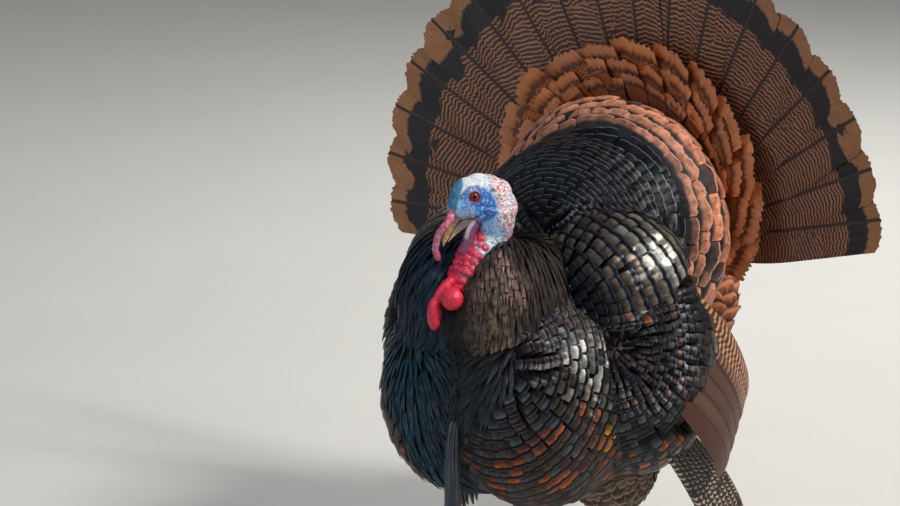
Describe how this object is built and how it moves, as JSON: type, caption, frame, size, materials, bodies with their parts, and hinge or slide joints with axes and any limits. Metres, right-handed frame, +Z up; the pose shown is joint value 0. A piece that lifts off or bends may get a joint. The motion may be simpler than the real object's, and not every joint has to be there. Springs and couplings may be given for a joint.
{
  "type": "wild turkey figure",
  "caption": "Life-size still figure of a male wild turkey in display: tail fanned upright, plumage puffed, wings drooped to the floor, bare head turned to one side.",
  "frame": {"origin": "on the floor, under the middle of the figure's box", "axes": "+Z up from the floor; the bird faces -Y; its left side is +X"},
  "size_m": [0.7638, 0.5506, 0.8238],
  "materials": {
    "black_feather": "glossy black plumage with a bronze sheen",
    "bronze_feather": "iridescent dark bronze plumage",
    "chestnut_feather": "chestnut plumage with fine dark bars",
    "barred_feather": "dark quills with bars and a pale tip",
    "brown_quill": "plain brown quills with buff edges",
    "blue_skin": "bare wrinkled skin, blue and white",
    "red_skin": "moist red fleshy lobes",
    "horn": "worn satin horn",
    "leg_skin": "scaly dull pink-brown skin",
    "eye": "wet dark brown eye"
  },
  "bodies": {
    "root": {"beard": "black_feather", "bill_lower": "horn", "bill_upper": "horn", "caruncle_left": "red_skin", "caruncle_right": "red_skin", "claw_hind_left": "horn", "claw_hind_right": "horn", "claw_inner_left": "horn", "claw_inner_right": "horn", "claw_middle_left": "horn", "claw_middle_right": "horn", "claw_outer_left": "horn", "claw_outer_right": "horn", "eye_left": "eye", "eye_right": "eye", "foot_left": "leg_skin", "foot_right": "leg_skin", "head": "blue_skin", "neck": "blue_skin", "primaries_left": "barred_feather", "primaries_right": "barred_feather", "rump": "black_feather", "secondaries_left": "brown_quill", "secondaries_right": "brown_quill", "shank_left": "leg_skin", "shank_right": "leg_skin", "shoulder_left": "bronze_feather", "shoulder_right": "bronze_feather", "snood": "red_skin", "spur_left": "horn", "spur_right": "horn", "tail_coverts_under": "chestnut_feather", "tail_coverts_upper": "chestnut_feather", "tail_fan": "barred_feather", "thigh_left": "bronze_feather", "thigh_right": "bronze_feather", "trunk": "black_feather", "wing_left": "bronze_feather", "wing_right": "bronze_feather"}
  },
  "joints": []
}
